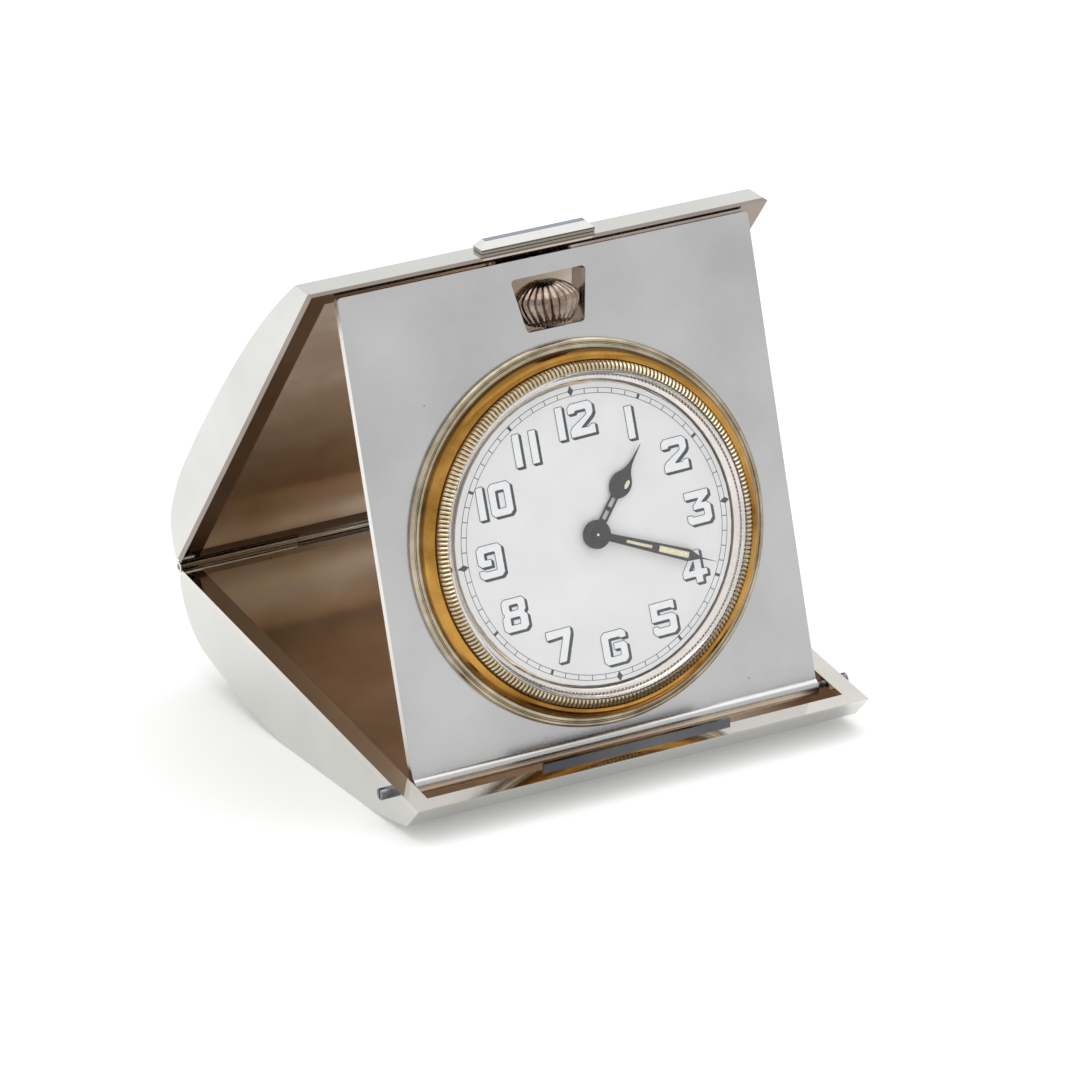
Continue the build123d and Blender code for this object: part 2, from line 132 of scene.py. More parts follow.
def noise(tree, spot, size_mm, detail, coarse=0.5):
    inputs = {"Vector": spot, "Scale": 1 / (size_mm * MM), "Detail": detail, "Roughness": coarse}
    return add(tree, "ShaderNodeTexNoise", inputs).outputs["Fac"]


def bumped(tree, height, strength, depth_mm, invert=False):
    inputs = {"Height": height, "Strength": strength, "Distance": depth_mm * MM}
    return add(tree, "ShaderNodeBump", inputs, invert=invert).outputs[0]


def scattered(tree, spot, cell_mm, channel, rarity):
    # cells of a given size: the distance from each cell's middle, and 1 in the few cells that are drawn
    cells = add(tree, "ShaderNodeTexVoronoi", {"Vector": spot, "Scale": 1 / (cell_mm * MM)})
    draw = add(tree, "ShaderNodeSeparateColor", {"Color": cells.outputs["Color"]})
    return cells.outputs["Distance"], arithmetic(tree, "GREATER_THAN", draw.outputs[channel], rarity)


# Wear on silver. Each set of scratches has its turn in radians, and its length and width in millimetres
cloud_mm, stain_mm = 14, 11
scratch_sets = ((0.5, 7.0, 0.09), (-0.9, 5.0, 0.07), (1.9, 9.0, 0.08))
scratch_tilt = 0.2
scratch_low, scratch_high = 0.69, 0.76      # the part of the noise that shows as a scratch
scratch_rough = 0.12
pit_cell_mm, pit_rarity, pit_size = 2.2, 0.86, 0.05
# the palest tarnish tones and the settings for the lid's mouth below are painted light, paler towards the
# mouth
tarnish_and_painted_light_browns = [(0.3, "#c2a88c"), (0.5, "#d2bba3"), (0.72, "#decab5"), (0.95, "#f6eadb")]
tarnish_rough = 0.2
mouth_low, mouth_high = 24 * MM, 46 * MM    # heights between which the lid's inside turns paler
mouth_painted_light = 0.4
mouth_metal_loss = 1.6                            # how much metal the painted light at the mouth takes away, for each unit of paling
cut_facing = 0.75                           # a face that looks sideways more than this is a cut side


def hairlines(tree, spot):
    # 1 along fine scratches, which are noise stretched in a few directions, and 0 elsewhere
    lines = []
    for turn, long_mm, thin_mm in scratch_sets:
        spread = (1 / (long_mm * MM), 1 / (thin_mm * MM), 1 / (thin_mm * MM))
        lie = add(tree, "ShaderNodeMapping", {"Vector": spot, "Rotation": (scratch_tilt, turn, turn)})
        stretch = add(tree, "ShaderNodeMapping", {"Vector": lie.outputs[0], "Scale": spread})
        streak = add(tree, "ShaderNodeTexNoise", {
            "Vector": stretch.outputs[0], "Scale": 1.0, "Detail": 1.0})
        lines.append(rescaled(tree, streak.outputs["Fac"], scratch_low, scratch_high))
    deepest = lines[0]
    for line in lines[1:]:
        deepest = arithmetic(tree, "MAXIMUM", deepest, line)
    return deepest


def silver(name, pale, dark, haze, inside=None, side_highlight=None):
    # Rolled silver sheet, polished by hand: a mirror with soft wear clouds, hairline scratches and pits.
    # The faces that look to the middle of a shell keep a brown tarnish over their gilt wash. Towards the
    # lid's mouth that inside is painted paler and made less metallic: painted light where the open lid takes
    # the light. The cut sides of a plate are painted brighter than its face, a painted highlight.
    material, tree = new_material(name)
    place = add(tree, "ShaderNodeTexCoord")
    spot, normal = place.outputs["Object"], place.outputs["Normal"]
    cloud = noise(tree, spot, cloud_mm, detail=4.0)
    tone = ramp(tree, cloud, [(0.3, dark), (0.7, pale)])
    scratches = hairlines(tree, spot)
    distance, chosen = scattered(tree, spot, pit_cell_mm, 0, pit_rarity)
    pits = arithmetic(tree, "MULTIPLY", chosen, arithmetic(tree, "LESS_THAN", distance, pit_size))
    colour = mixed(tree, pits, tone, linear("#7f7a72"))
    worn = rescaled(tree, cloud, 0.0, 1.0, haze * 0.8, haze * 1.25)
    rough = arithmetic(tree, "MULTIPLY_ADD", scratches, scratch_rough, worn)
    metal = 1.0
    if inside is not None:
        from_middle = add(tree, "ShaderNodeVectorMath", {0: spot, 1: inside}, operation="SUBTRACT")
        facing = add(tree, "ShaderNodeVectorMath", {0: from_middle.outputs[0], 1: normal},
                     operation="DOT_PRODUCT")
        inner = arithmetic(tree, "LESS_THAN", facing.outputs["Value"], 0.0)
        stain = noise(tree, spot, stain_mm, detail=3.0)
        height = add(tree, "ShaderNodeSeparateXYZ", {0: spot}).outputs[2]
        # painted light: the lid's inside is painted paler towards its mouth
        mouth = rescaled(tree, height, mouth_low, mouth_high, 0.0, mouth_painted_light)
        brown = ramp(tree, arithmetic(tree, "ADD", stain, mouth), tarnish_and_painted_light_browns)
        colour = mixed(tree, inner, colour, brown)
        rough = arithmetic(tree, "MULTIPLY_ADD", inner, tarnish_rough, rough)
        # the painted light at the mouth also takes metal away there
        lit_mouth = arithmetic(tree, "MULTIPLY", inner, mouth)
        metal = arithmetic(tree, "MULTIPLY_ADD", lit_mouth, -mouth_metal_loss, 1.0)
    if side_highlight is not None:
        # painted highlight: the faces that look sideways are given a brighter colour
        across = add(tree, "ShaderNodeSeparateXYZ", {0: normal}).outputs[0]
        cut = arithmetic(tree, "GREATER_THAN", arithmetic(tree, "ABSOLUTE", across), cut_facing)
        colour = mixed(tree, cut, colour, linear(side_highlight))
    relief = arithmetic(tree, "ADD", scratches, pits)
    shader = add(tree, "ShaderNodeBsdfPrincipled", {
        "Base Color": colour, "Metallic": metal, "Roughness": rough,
        "Normal": bumped(tree, relief, strength=0.1, depth_mm=0.01, invert=True)})
    show(tree, shader)
    return material


def middle_of(node):
    low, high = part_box(node)
    return (low + high) / 2


# The plate's cut sides are painted brighter, a painted highlight.
plate_silver = silver("satin_silver_plate", "#bdbdbd", "#adadad", haze=0.26, side_highlight="#dddcd9")
shell_silver_low = silver("polished_silver_lower_shell", "#d5d5d0", "#cacac6", haze=0.13,
                          inside=middle_of("lower_shell"))
shell_silver_lid = silver("polished_silver_lid", "#d5d5d0", "#cacac6", haze=0.13,
                          inside=middle_of("lid_shell"))
rim_silver = silver("polished_silver_rim", "#dcd9d3", "#d0ccc5", haze=0.07)
# The lid's rim is brown tarnish, painted darker still as painted shade where its land lies under the lid's
# lip.
lid_rim_tarnish_and_shade = silver("tarnished_silver_lid_rim_painted_shade", "#94867b", "#7a6c61", haze=0.1)
fitting_silver = silver("polished_silver_fittings", "#d6d4d0", "#c8c6c2", haze=0.1)
# The catch tongue and latch hook are painted dark blue-grey: painted shade and dark reflection in the gap
# they stand in.
tongue_painted_shade_silver = silver("silver_tongue_painted_shade", "#7d8189", "#5c6068", haze=0.12)


def toned_latch(name):
    # A cast silver bar with painted light by the way each face looks: its flat top is painted dark and blue,
    # a painted reflection, and its slopes are painted bright, a painted highlight.
    material, tree = new_material(name)
    place = add(tree, "ShaderNodeTexCoord")
    upward_painted_light = add(tree, "ShaderNodeSeparateXYZ", {0: place.outputs["Normal"]}).outputs[2]
    patch = noise(tree, place.outputs["Object"], size_mm=1.5, detail=4.0)
    mottle = 0.12
    height = arithmetic(tree, "MULTIPLY_ADD", patch, mottle, upward_painted_light)
    # tones by how far a face looks up: painted reflection on the top and painted highlight on the slopes, a
    # little mottled
    tone = ramp(tree, height, [
        (0.1, "#aaa398"), (0.4, "#c9c6c0"), (0.6, "#ecebe8"), (0.85, "#e2e3e4"), (0.97, "#8d95a2")])
    rough = rescaled(tree, patch, 0.0, 1.0, 0.06, 0.2)
    shader = add(tree, "ShaderNodeBsdfPrincipled", {"Base Color": tone, "Metallic": 1.0, "Roughness": rough})
    show(tree, shader)
    return material


latch_painted_light_silver = toned_latch("silver_latch_painted_light")


def turned_metal(name, pale, dark, haze, patch_mm, upward_painted_light=None):
    # A lathe-turned and polished fitting: patches of wear change its tone and its haze, or roughness.
    # Where a colour for the faces that look up is given, they are painted that tone, a painted shade.
    material, tree = new_material(name)
    place = add(tree, "ShaderNodeTexCoord")
    patch = noise(tree, place.outputs["Object"], patch_mm, detail=5.0, coarse=0.6)
    tone = ramp(tree, patch, [(0.3, dark), (0.65, pale)])
    if upward_painted_light is not None:
        # painted shade on the faces that look up
        facing = add(tree, "ShaderNodeSeparateXYZ", {0: place.outputs["Normal"]}).outputs[2]
        tone = mixed(tree, rescaled(tree, facing, 0.45, 0.85), tone, linear(upward_painted_light))
    rough = rescaled(tree, patch, 0.3, 0.7, haze * 1.6, haze)
    grain = noise(tree, place.outputs["Object"], size_mm=0.3, detail=2.0)
    shader = add(tree, "ShaderNodeBsdfPrincipled", {
        "Base Color": tone, "Metallic": 1.0, "Roughness": rough,
        "Normal": bumped(tree, grain, strength=0.05, depth_mm=0.02)})
    show(tree, shader)
    return material


# The gilt's faces that look up are painted a darker olive brown, a painted shade.
gilt = turned_metal("gilt_brass_polished", "#bd8f47", "#724918", haze=0.11, patch_mm=8.0, upward_painted_light="#65491f")
champagne = turned_metal("nickel_gilt_turned", "#d6c8ab", "#bca988", haze=0.14, patch_mm=3.0)
slope_silver = turned_metal("silvered_slope_turned", "#e6deda", "#d8cfca", haze=0.1, patch_mm=4.0)
flange_silver = turned_metal("silvered_flange_turned", "#bdb39f", "#877b63", haze=0.14, patch_mm=4.0)
# The crown's dark brownish tone is painted shade and painted brown reflection from inside its window.
crown_painted_shade_silver = turned_metal("crown_silver_painted_shade", "#a5968a", "#68564a", haze=0.07, patch_mm=2.0)
steel = turned_metal("ground_steel", "#808185", "#5d5e62", haze=0.25, patch_mm=1.5)
movement_brass = turned_metal("gilded_movement_brass", "#cdaf6c", "#b0915a", haze=0.28, patch_mm=2.5)


def enamel(name, pale, dark):
    # Fired white enamel: an even glassy white with a faint waviness and a few dark kiln specks.
    material, tree = new_material(name)
    spot = add(tree, "ShaderNodeTexCoord").outputs["Object"]
    wave = noise(tree, spot, size_mm=6, detail=2.0)
    tone = ramp(tree, wave, [(0.3, dark), (0.7, pale)])
    speck_cell_mm, speck_rarity = 2.6, 0.72
    speck_core, speck_edge, speck_depth = 0.03, 0.05, 0.5
    distance, chosen = scattered(tree, spot, speck_cell_mm, 1, speck_rarity)
    near = rescaled(tree, distance, speck_core, speck_edge, speck_depth, 0.0)
    colour = mixed(tree, arithmetic(tree, "MULTIPLY", chosen, near), tone, linear("#8f8d86"))
    shader = add(tree, "ShaderNodeBsdfPrincipled", {
        "Base Color": colour, "Roughness": 0.3, "IOR": 1.52,
        "Normal": bumped(tree, wave, strength=0.04, depth_mm=0.05)})
    show(tree, shader)
    return material


def paint(name, pale, dark, rough, grain_mm):
    # Printed ink or lacquer: a matt film whose tone breaks up a little at its own grain.
    material, tree = new_material(name)
    spot = add(tree, "ShaderNodeTexCoord").outputs["Object"]
    grain = noise(tree, spot, grain_mm, detail=3.0)
    tone = ramp(tree, grain, [(0.35, dark), (0.65, pale)])
    shader = add(tree, "ShaderNodeBsdfPrincipled", {
        "Base Color": tone, "Roughness": rough, "Normal": bumped(tree, grain, strength=0.06, depth_mm=0.02)})
    show(tree, shader)
    return material


def clear_glass(name):
    # A blown and ground watch glass: clear, with light let through to what lies under it.
    material, tree = new_material(name)
    spot = add(tree, "ShaderNodeTexCoord").outputs["Object"]
    wave = noise(tree, spot, size_mm=8, detail=1.0)
    glass = add(tree, "ShaderNodeBsdfPrincipled", {
        "Base Color": linear("#ffffff"), "Roughness": 0.01, "IOR": 1.46, "Transmission Weight": 1.0,
        "Normal": bumped(tree, wave, strength=0.02, depth_mm=0.1)})
    light = add(tree, "ShaderNodeLightPath")
    through = add(tree, "ShaderNodeBsdfTransparent", {"Color": linear("#ffffff")})
    passes = arithmetic(tree, "MAXIMUM", light.outputs["Is Shadow Ray"], light.outputs["Is Diffuse Ray"])
    show(tree, add(tree, "ShaderNodeMixShader", {0: passes, 1: glass.outputs[0], 2: through.outputs[0]}))
    return material


dial_enamel = enamel("fired_white_enamel", "#ededed", "#e6e6e6")
dial_ink = paint("printed_dial_ink", "#343b47", "#252b36", rough=0.55, grain_mm=0.12)
dial_fill = paint("printed_numeral_white", "#f4f6f7", "#eceff1", rough=0.4, grain_mm=0.3)
hand_black = paint("blackened_steel_hands", "#232323", "#141415", rough=0.4, grain_mm=0.25)
lume = paint("aged_lume_paste", "#f3ecd0", "#dfd4a8", rough=0.8, grain_mm=0.2)
# a dark brown for the valleys of the reeded ring
reed_valley_brown = paint("dark_brown_reed_valleys", "#6b573c", "#453623", rough=0.7, grain_mm=0.3)
crystal_glass = clear_glass("clear_watch_glass")


# Mesh helpers

weld = 0.0005              # corners nearer than this are one corner
ring_steps, glass_steps, circle_steps = 192, 128, 180
full_turn = {"cent": (0, 0, 0), "axis": (0, 0, 1), "angle": math.tau}


def piece(name, bm, place, material, body, slot, *stands_for, **finish):
    # closes a mesh, puts it in its place and lets it ride on its body
    bmesh.ops.remove_doubles(bm, verts=bm.verts, dist=weld)
    bmesh.ops.recalc_face_normals(bm, faces=bm.faces)
    bmesh.ops.transform(bm, matrix=place, verts=bm.verts)
    return finished(name, bm, material, body, slot, *stands_for, **finish)


def print_piece(name, bm, height, material, body, slot, **finish):
    # flat printing that lies at a height over the plate, with its faces looking out
    bmesh.ops.reverse_faces(bm, faces=[face for face in bm.faces if face.normal.z < 0])
    bmesh.ops.transform(bm, matrix=dial_place @ Matrix.Translation((0, 0, height)), verts=bm.verts)
    return finished(name, bm, material, body, slot, **finish)


def finished(name, bm, material, body, slot, *stands_for, crisp=40.0, second=None):
    # an object that is smooth up to the crisp angle, in degrees, and takes the place of the nodes named
    mesh = bpy.data.meshes.new(name)
    bm.to_mesh(mesh)
    bm.free()
    mesh.shade_smooth()
    mesh.set_sharp_from_angle(angle=math.radians(crisp))
    mesh.materials.append(material)
    if second is not None:
        mesh.materials.append(second)
    made = bpy.data.objects.new(name, mesh)
    scene.collection.objects.link(made)
    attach(made, body)
    if stands_for:
        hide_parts(*stands_for)
    return made


def outline(bm, points, closed=True):
    # corners joined by edges, one after the other
    corners = [bm.verts.new(point) for point in points]
    ends = corners[1:] + corners[:1] if closed else corners[1:]
    for start, end in zip(corners, ends):
        bm.edges.new((start, end))
    return corners


def rounded_corners(bm, corners, radius, segments):
    bmesh.ops.bevel(bm, geom=corners, offset=radius, segments=segments, profile=0.5, affect="VERTICES",
                    material=-1)


def turned(points, rounding):
    # a ring turned on the dial's axis from a closed outline of radius and height, with its corners rounded
    bm = bmesh.new()
    corners = outline(bm, [(radius, 0, height) for radius, height in points])
    rounded_corners(bm, corners, rounding, segments=3)
    bmesh.ops.spin(bm, geom=bm.verts[:] + bm.edges[:], steps=ring_steps, use_merge=True, **full_turn)
    return bm


# Bezel: a silvered flange, a polished gilt band and a reeded ring with a polished slope down to the dial
flange = turned([(17.85, 0.02), (22.43, 0.02), (22.43, 0.42), (22.2, 0.66), (21.95, 0.66), (21.88, 0.48),
                 (21.76, 0.48), (21.69, 0.68), (17.85, 0.68)], rounding=0.05)
piece("flange_ring", flange, dial_place, flange_silver, "clock_plate", "polished_silver", "bezel_flange")

band = turned([(20.02, 0.7), (21.3, 0.7), (21.37, 1.0), (21.22, 1.5), (20.9, 1.95), (20.5, 2.22),
               (20.15, 2.28), (20.02, 2.2)], rounding=0.08)
piece("gilt_band", band, dial_place, gilt, "clock_plate", "gilt_metal", "gilt_bezel", crisp=60.0)

reed_count = 240
reed_half_pitch = math.pi / reed_count
# across one reed: the place as a share of half the pitch, and the depth under the ridge
reed_rows = ((-1.0, 0.2), (-0.62, 0.16), (0.0, 0.0), (0.62, 0.16), (1.0, 0.2))
reed_outline = [(18.98, 0.75), (19.98, 0.75), (19.98, 2.2), (19.93, 2.55), (19.74, 2.9), (19.42, 3.14),
                (18.98, 3.26)]
reed_plain_points = 3      # the first corners of the outline lie under the reeds and stay round
reed_cut_in, reed_cut_down = 0.6, 0.8
dark_valley_from = 0.7           # dark brown fills a valley from this share of half the pitch


def reeded_ring():
    # one reed from outlines at its valleys and its ridge, bridged and spun round, with dark brown in the
    # valleys
    bm = bmesh.new()
    rows = []
    for share, depth in reed_rows:
        turn = Matrix.Rotation(share * reed_half_pitch, 3, "Z")
        points = []
        for index, (radius, height) in enumerate(reed_outline):
            cut = depth if index >= reed_plain_points else 0.0
            points.append(turn @ Vector((radius - reed_cut_in * cut, 0, height - reed_cut_down * cut)))
        rows.append(outline(bm, points))
    for near, far in zip(rows, rows[1:]):
        pair = near + far
        edges = [edge for edge in bm.edges if edge.verts[0] in pair and edge.verts[1] in pair]
        bmesh.ops.bridge_loops(bm, edges=edges)
    for face in bm.faces:
        middle = face.calc_center_median()
        face.material_index = 1 if abs(middle.y) / middle.x > dark_valley_from * reed_half_pitch else 0
    bmesh.ops.spin(bm, geom=bm.verts[:] + bm.edges[:] + bm.faces[:], steps=reed_count, use_duplicate=True,
                   **full_turn)
    return bm


piece("coin_edge_ring", reeded_ring(), dial_place, champagne, "clock_plate", "nickel_silver", "reeded_bezel",
      crisp=35.0, second=reed_valley_brown)
slope = turned([(17.85, 0.75), (19.03, 0.75), (19.03, 3.08), (18.94, 3.08), (18.93, 2.46), (18.75, 2.4),
                (17.85, 1.88)], rounding=0.03)
piece("bezel_slope", slope, dial_place, slope_silver, "clock_plate", "nickel_silver")


def glass_dome():
    # a shell of even thickness whose steep edge is rounded over into a flat dome
    steps = 24
    crest, dome_radius, dome_edge, thick = 4.95, 17.9, 3.75, 0.7
    outer = []
    for step in range(steps + 1):
        run = dome_radius * step / steps
        outer.append((run, crest - (crest - dome_edge) * (run / dome_radius) ** 2))
    outer += [(18.25, 3.62), (18.55, 3.4), (18.76, 3.12), (18.86, 2.8), (18.88, 2.52)]
    inner = [(18.2, 2.52), (18.1, 2.75), (17.85, 2.95)]
    inner += [(run, height - thick) for run, height in reversed(outer[:steps - 1])]
    bm = bmesh.new()
    outline(bm, [(run, 0, height) for run, height in outer + inner], closed=False)
    bmesh.ops.spin(bm, geom=bm.verts[:] + bm.edges[:], steps=glass_steps, use_merge=True, **full_turn)
    return bm


piece("watch_glass", glass_dome(), dial_place, crystal_glass, "clock_plate", "glass", "crystal", crisp=40.0)


# Dial printing: a minute track, and upright block numerals with a thin outline and a shadow

def square(bm, place):
    bmesh.ops.create_grid(bm, x_segments=1, y_segments=1, size=0.5, matrix=place)


def on_dial(clockwise, radius):
    angle = math.pi / 2 - clockwise + dial_turn
    return Vector((radius * math.cos(angle), radius * math.sin(angle)))


def circle_line(bm, radius, width):
    ends = [bm.verts.new((radius - width / 2, 0, 0)), bm.verts.new((radius + width / 2, 0, 0))]
    line = bm.edges.new(ends)
    bmesh.ops.spin(bm, geom=[*ends, line], steps=circle_steps, use_merge=True, **full_turn)


track_inner, track_outer = 16.2, 16.85
circle_width, minute_width, hour_width = 0.07, 0.09, 0.34
diamond_radius, diamond_long, diamond_wide = 16.82, 0.92, 0.55
ink_lift, numeral_lift = 0.01, 0.04        # how high the printing lies on the enamel
track = bmesh.new()
circle_line(track, track_inner, circle_width)
circle_line(track, track_outer, circle_width)
for minute in range(60):
    clockwise = math.tau * minute / 60
    turn = Matrix.Rotation(math.pi / 2 - clockwise + dial_turn, 4, "Z")
    if minute % 15 == 0:
        spot = Matrix.Translation((*on_dial(clockwise, diamond_radius), 0))
        shape = Matrix.Diagonal((diamond_long, diamond_wide, 1, 1)) @ Matrix.Rotation(math.pi / 4, 4, "Z")
    else:
        spot = Matrix.Translation((*on_dial(clockwise, (track_inner + track_outer) / 2), 0))
        width = hour_width if minute % 5 == 0 else minute_width
        shape = Matrix.Diagonal((track_outer - track_inner, width, 1, 1))
    square(track, spot @ turn @ shape)
print_piece("minute_track", track, dial_front + ink_lift, dial_ink, "clock_plate", "dial_enamel")

# Each digit is a closed outline in millimetres round its middle, and after it the outlines of its holes.
# They stand in a box of these half sizes.
wide, tall = 1.625, 1.975
slim = 1.45
chamfer = 0.45
six = [(-wide + chamfer, tall), (wide - chamfer, tall), (wide, tall - chamfer), (wide, 0.85),
       (wide - 0.8, 0.85), (wide - 0.95, 1.05), (-0.62, 1.05), (-0.62, -1.0), (0.62, -1.0), (0.62, -0.3),
       (-0.15, -0.3), (-0.15, 0.55), (wide - chamfer, 0.55), (wide, 0.15), (wide, chamfer - tall),
       (wide - chamfer, -tall), (chamfer - wide, -tall), (-wide, chamfer - tall), (-wide, tall - chamfer)]
digits = {
    "0": [[(chamfer - slim, tall), (slim - chamfer, tall), (slim, tall - chamfer), (slim, chamfer - tall),
           (slim - chamfer, -tall), (chamfer - slim, -tall), (-slim, chamfer - tall),
           (-slim, tall - chamfer)],
          [(-0.48, 1.0), (0.48, 1.0), (0.48, -1.0), (-0.48, -1.0)]],
    "1": [[(-0.5, tall), (0.5, tall), (0.5, -tall), (-0.5, -tall)]],
    "2": [[(chamfer - wide, tall), (wide - chamfer, tall), (wide, tall - chamfer), (wide, 0.5),
           (wide - 0.3, 0.1), (-0.1, -1.0), (wide - 0.8, -1.0), (wide - 0.65, -0.78), (wide, -0.78),
           (wide, -tall), (-wide, -tall), (-wide, -1.15), (-wide + 0.3, -0.72), (0.62, 0.42), (0.62, 1.0),
           (-0.62, 1.0), (-0.75, 0.75), (-wide, 0.75), (-wide, tall - chamfer)]],
    "3": [[(-wide, tall), (wide - 0.1, tall), (wide - 0.1, tall - 0.75), (0.55, 0.5), (wide - 0.5, 0.5),
           (wide, 0.1), (wide, chamfer - tall), (wide - chamfer, -tall), (chamfer - wide, -tall),
           (-wide, chamfer - tall), (-wide, -0.75), (-0.92, -0.75), (-0.8, -1.0), (0.62, -1.0), (0.62, -0.3),
           (-0.7, -0.3), (-0.7, 0.25), (0.1, 1.02), (-wide, 1.02)]],
    "4": [[(0.0, tall), (0.95, tall), (0.95, -0.35), (wide, -0.35), (wide, -1.2), (0.95, -1.2), (0.95, -tall),
           (-0.05, -tall), (-0.05, -1.2), (-wide, -1.2), (-wide, -0.45)],
          [(-0.05, -0.35), (-0.05, 0.65), (-0.7, -0.35)]],
    "5": [[(-wide, tall), (wide - 0.05, tall), (wide - 0.05, 0.82), (wide - 0.45, 0.82), (wide - 0.6, 1.02),
           (-0.67, 1.02), (-0.67, 0.5), (wide - chamfer, 0.5), (wide, 0.1), (wide, chamfer - tall),
           (wide - chamfer, -tall), (chamfer - wide, -tall), (-wide, chamfer - tall), (-wide, -0.75),
           (-0.87, -0.75), (-0.75, -1.0), (0.62, -1.0), (0.62, -0.3), (-wide, -0.3)]],
    "6": [six],
    "7": [[(-wide, tall), (wide, tall), (wide, tall - 0.75), (0.5, -tall), (-0.6, -tall), (0.45, 0.98),
           (-wide, 0.88)]],
    "8": [[(chamfer - wide, tall), (wide - chamfer, tall), (wide - 0.1, tall - 0.4), (wide - 0.1, 0.45),
           (wide - 0.35, 0.15), (wide, -0.2), (wide, chamfer - tall), (wide - chamfer, -tall),
           (chamfer - wide, -tall), (-wide, chamfer - tall), (-wide, -0.2), (0.35 - wide, 0.15),
           (0.1 - wide, 0.45), (0.1 - wide, tall - 0.4)],
          [(-0.5, 1.15), (0.5, 1.15), (0.5, 0.55), (-0.5, 0.55)],
          [(-0.55, -0.35), (0.55, -0.35), (0.55, -1.1), (-0.55, -1.1)]],
    "9": [[(-x, -y) for x, y in six]],
}
digit_width = {"0": 2 * slim, "1": 1.0}
digit_gap, ones_gap = 0.55, 1.1
digit_rounding = 0.09
numeral_radius = 13.35
thin_line = 0.075
shade_shift = Vector((0.28, -0.26))
shade_copies, shade_step = 4, 0.003


def draw_numeral(bm, text, middle, height):
    # the digits stand upright side by side, turned only as the dial is, with their corners a little rounded
    widths = [digit_width.get(sign, 2 * wide) for sign in text]
    gap = ones_gap if text == "11" else digit_gap
    left = -(sum(widths) + gap * (len(text) - 1)) / 2
    askew = Matrix.Rotation(dial_turn, 2)
    for sign, span in zip(text, widths):
        drawn = bmesh.new()
        for loop in digits[sign]:
            spots = [middle + askew @ Vector((left + span / 2 + x, y)) for x, y in loop]
            outline(drawn, [(*spot, height) for spot in spots])
        rounded_corners(drawn, drawn.verts[:], digit_rounding, segments=2)
        bmesh.ops.triangle_fill(drawn, use_beauty=True, edges=drawn.edges[:])
        flat = bpy.data.meshes.new("digit")
        drawn.to_mesh(flat)
        drawn.free()
        bm.from_mesh(flat)
        bpy.data.meshes.remove(flat)
        left += span + gap


shade, numerals = bmesh.new(), bmesh.new()
for hour in range(1, 13):
    middle = on_dial(math.tau * hour / 12, numeral_radius)
    draw_numeral(numerals, str(hour), middle, 0.0)
    for copy in range(1, shade_copies + 1):
        draw_numeral(shade, str(hour), middle + shade_shift * copy / shade_copies, copy * shade_step)
border = bmesh.ops.inset_region(numerals, faces=numerals.faces[:], thickness=thin_line, use_boundary=True,
                                use_even_offset=True)
for face in border["faces"]:
    face.material_index = 1
print_piece("numeral_shadows", shade, dial_front + ink_lift, dial_ink, "clock_plate", "dial_enamel")
print_piece("numerals", numerals, dial_front + numeral_lift, dial_fill, "clock_plate", "dial_enamel",
            second=dial_ink)


# Hands: cream paste in the minute hand's slots, a dab on the hour hand's pear and a bright end on the arbor
paste_slots = ((3.78, 7.12, 0.17), (8.07, 11.96, 0.35))   # where a slot starts and ends, and half its width
paste_thick, paste_rounding = 0.11, 0.03
paste_sunk = 0.085         # from the hand's top down to the middle of the paste
dab_across, dab_along = 0.72, 6.7
dab_below = 0.005          # a dab reaches this far under the face that it lies on


def hand_place(angle, height):
    return dial_place @ Matrix.Rotation(-angle, 4, "Z") @ Matrix.Translation((0, 0, height))


def paste_fill(bm, start, end, half):
    # a strip of paste in its slot, a little lower than the hand's top
    shape = Matrix.Diagonal((2 * half, end - start, paste_thick, 1))
    lie = Matrix.Translation((0, (start + end) / 2, 0)) @ shape
    made = bmesh.ops.create_cube(bm, size=1.0, matrix=lie)
    edges = {edge for vert in made["verts"] for edge in vert.link_edges}
    bmesh.ops.bevel(bm, geom=list(edges), offset=paste_rounding, segments=2, profile=0.5, affect="EDGES",
                    material=-1)


paste = bmesh.new()
for start, end, half in paste_slots:
    paste_fill(paste, start, end, half)
piece("minute_hand_paste", paste, hand_place(minute_hand_angle, minute_hand_top - paste_sunk), lume,
      "minute_set", "dial_enamel")


def dome_dab(across, along, thick):
    # half a flattened ball
    bm = bmesh.new()
    shape = Matrix.Diagonal((across, along, thick, 1))
    bmesh.ops.create_uvsphere(bm, u_segments=24, v_segments=12, radius=1.0, matrix=shape)
    bmesh.ops.bisect_plane(bm, geom=bm.verts[:] + bm.edges[:] + bm.faces[:], plane_co=(0, 0, -dab_below),
                           plane_no=(0, 0, -1), clear_outer=True)
    return bm


dab_place = hand_place(hour_hand_angle, hour_hand_top) @ Matrix.Translation((dab_across, dab_along, 0))
pear_dab = dome_dab(across=0.25, along=0.55, thick=0.06)
piece("hour_hand_dab", pear_dab, dab_place, lume, "hour_set", "dial_enamel")
arbor_dome = dome_dab(across=0.17, along=0.17, thick=0.05)
piece("arbor_end", arbor_dome, hand_place(0.0, cannon_top), fitting_silver, "minute_set", "polished_silver")


# Winding crown: an onion with rounded flutes, on the stem that runs up the plate
crown_bottom, crown_height = 24.3, 5.2
crown_outline = [(0.0, crown_height), (0.7, 5.18), (1.6, 4.98), (2.6, 4.5), (3.4, 3.9), (3.85, 3.35),
                 (3.98, 2.85), (3.85, 2.2), (3.5, 1.4), (3.0, 0.6), (2.5, 0.12), (2.2, 0.0), (0.0, 0.0)]
flutes, steps_each = 24, 8
flute_depth, flute_sharpness = 0.3, 1.5
flute_full_radius = 2.5    # nearer to the axis than this the flutes run out
plain_radius, plain_height = 0.3, 0.02     # the tip and the underside have no flutes


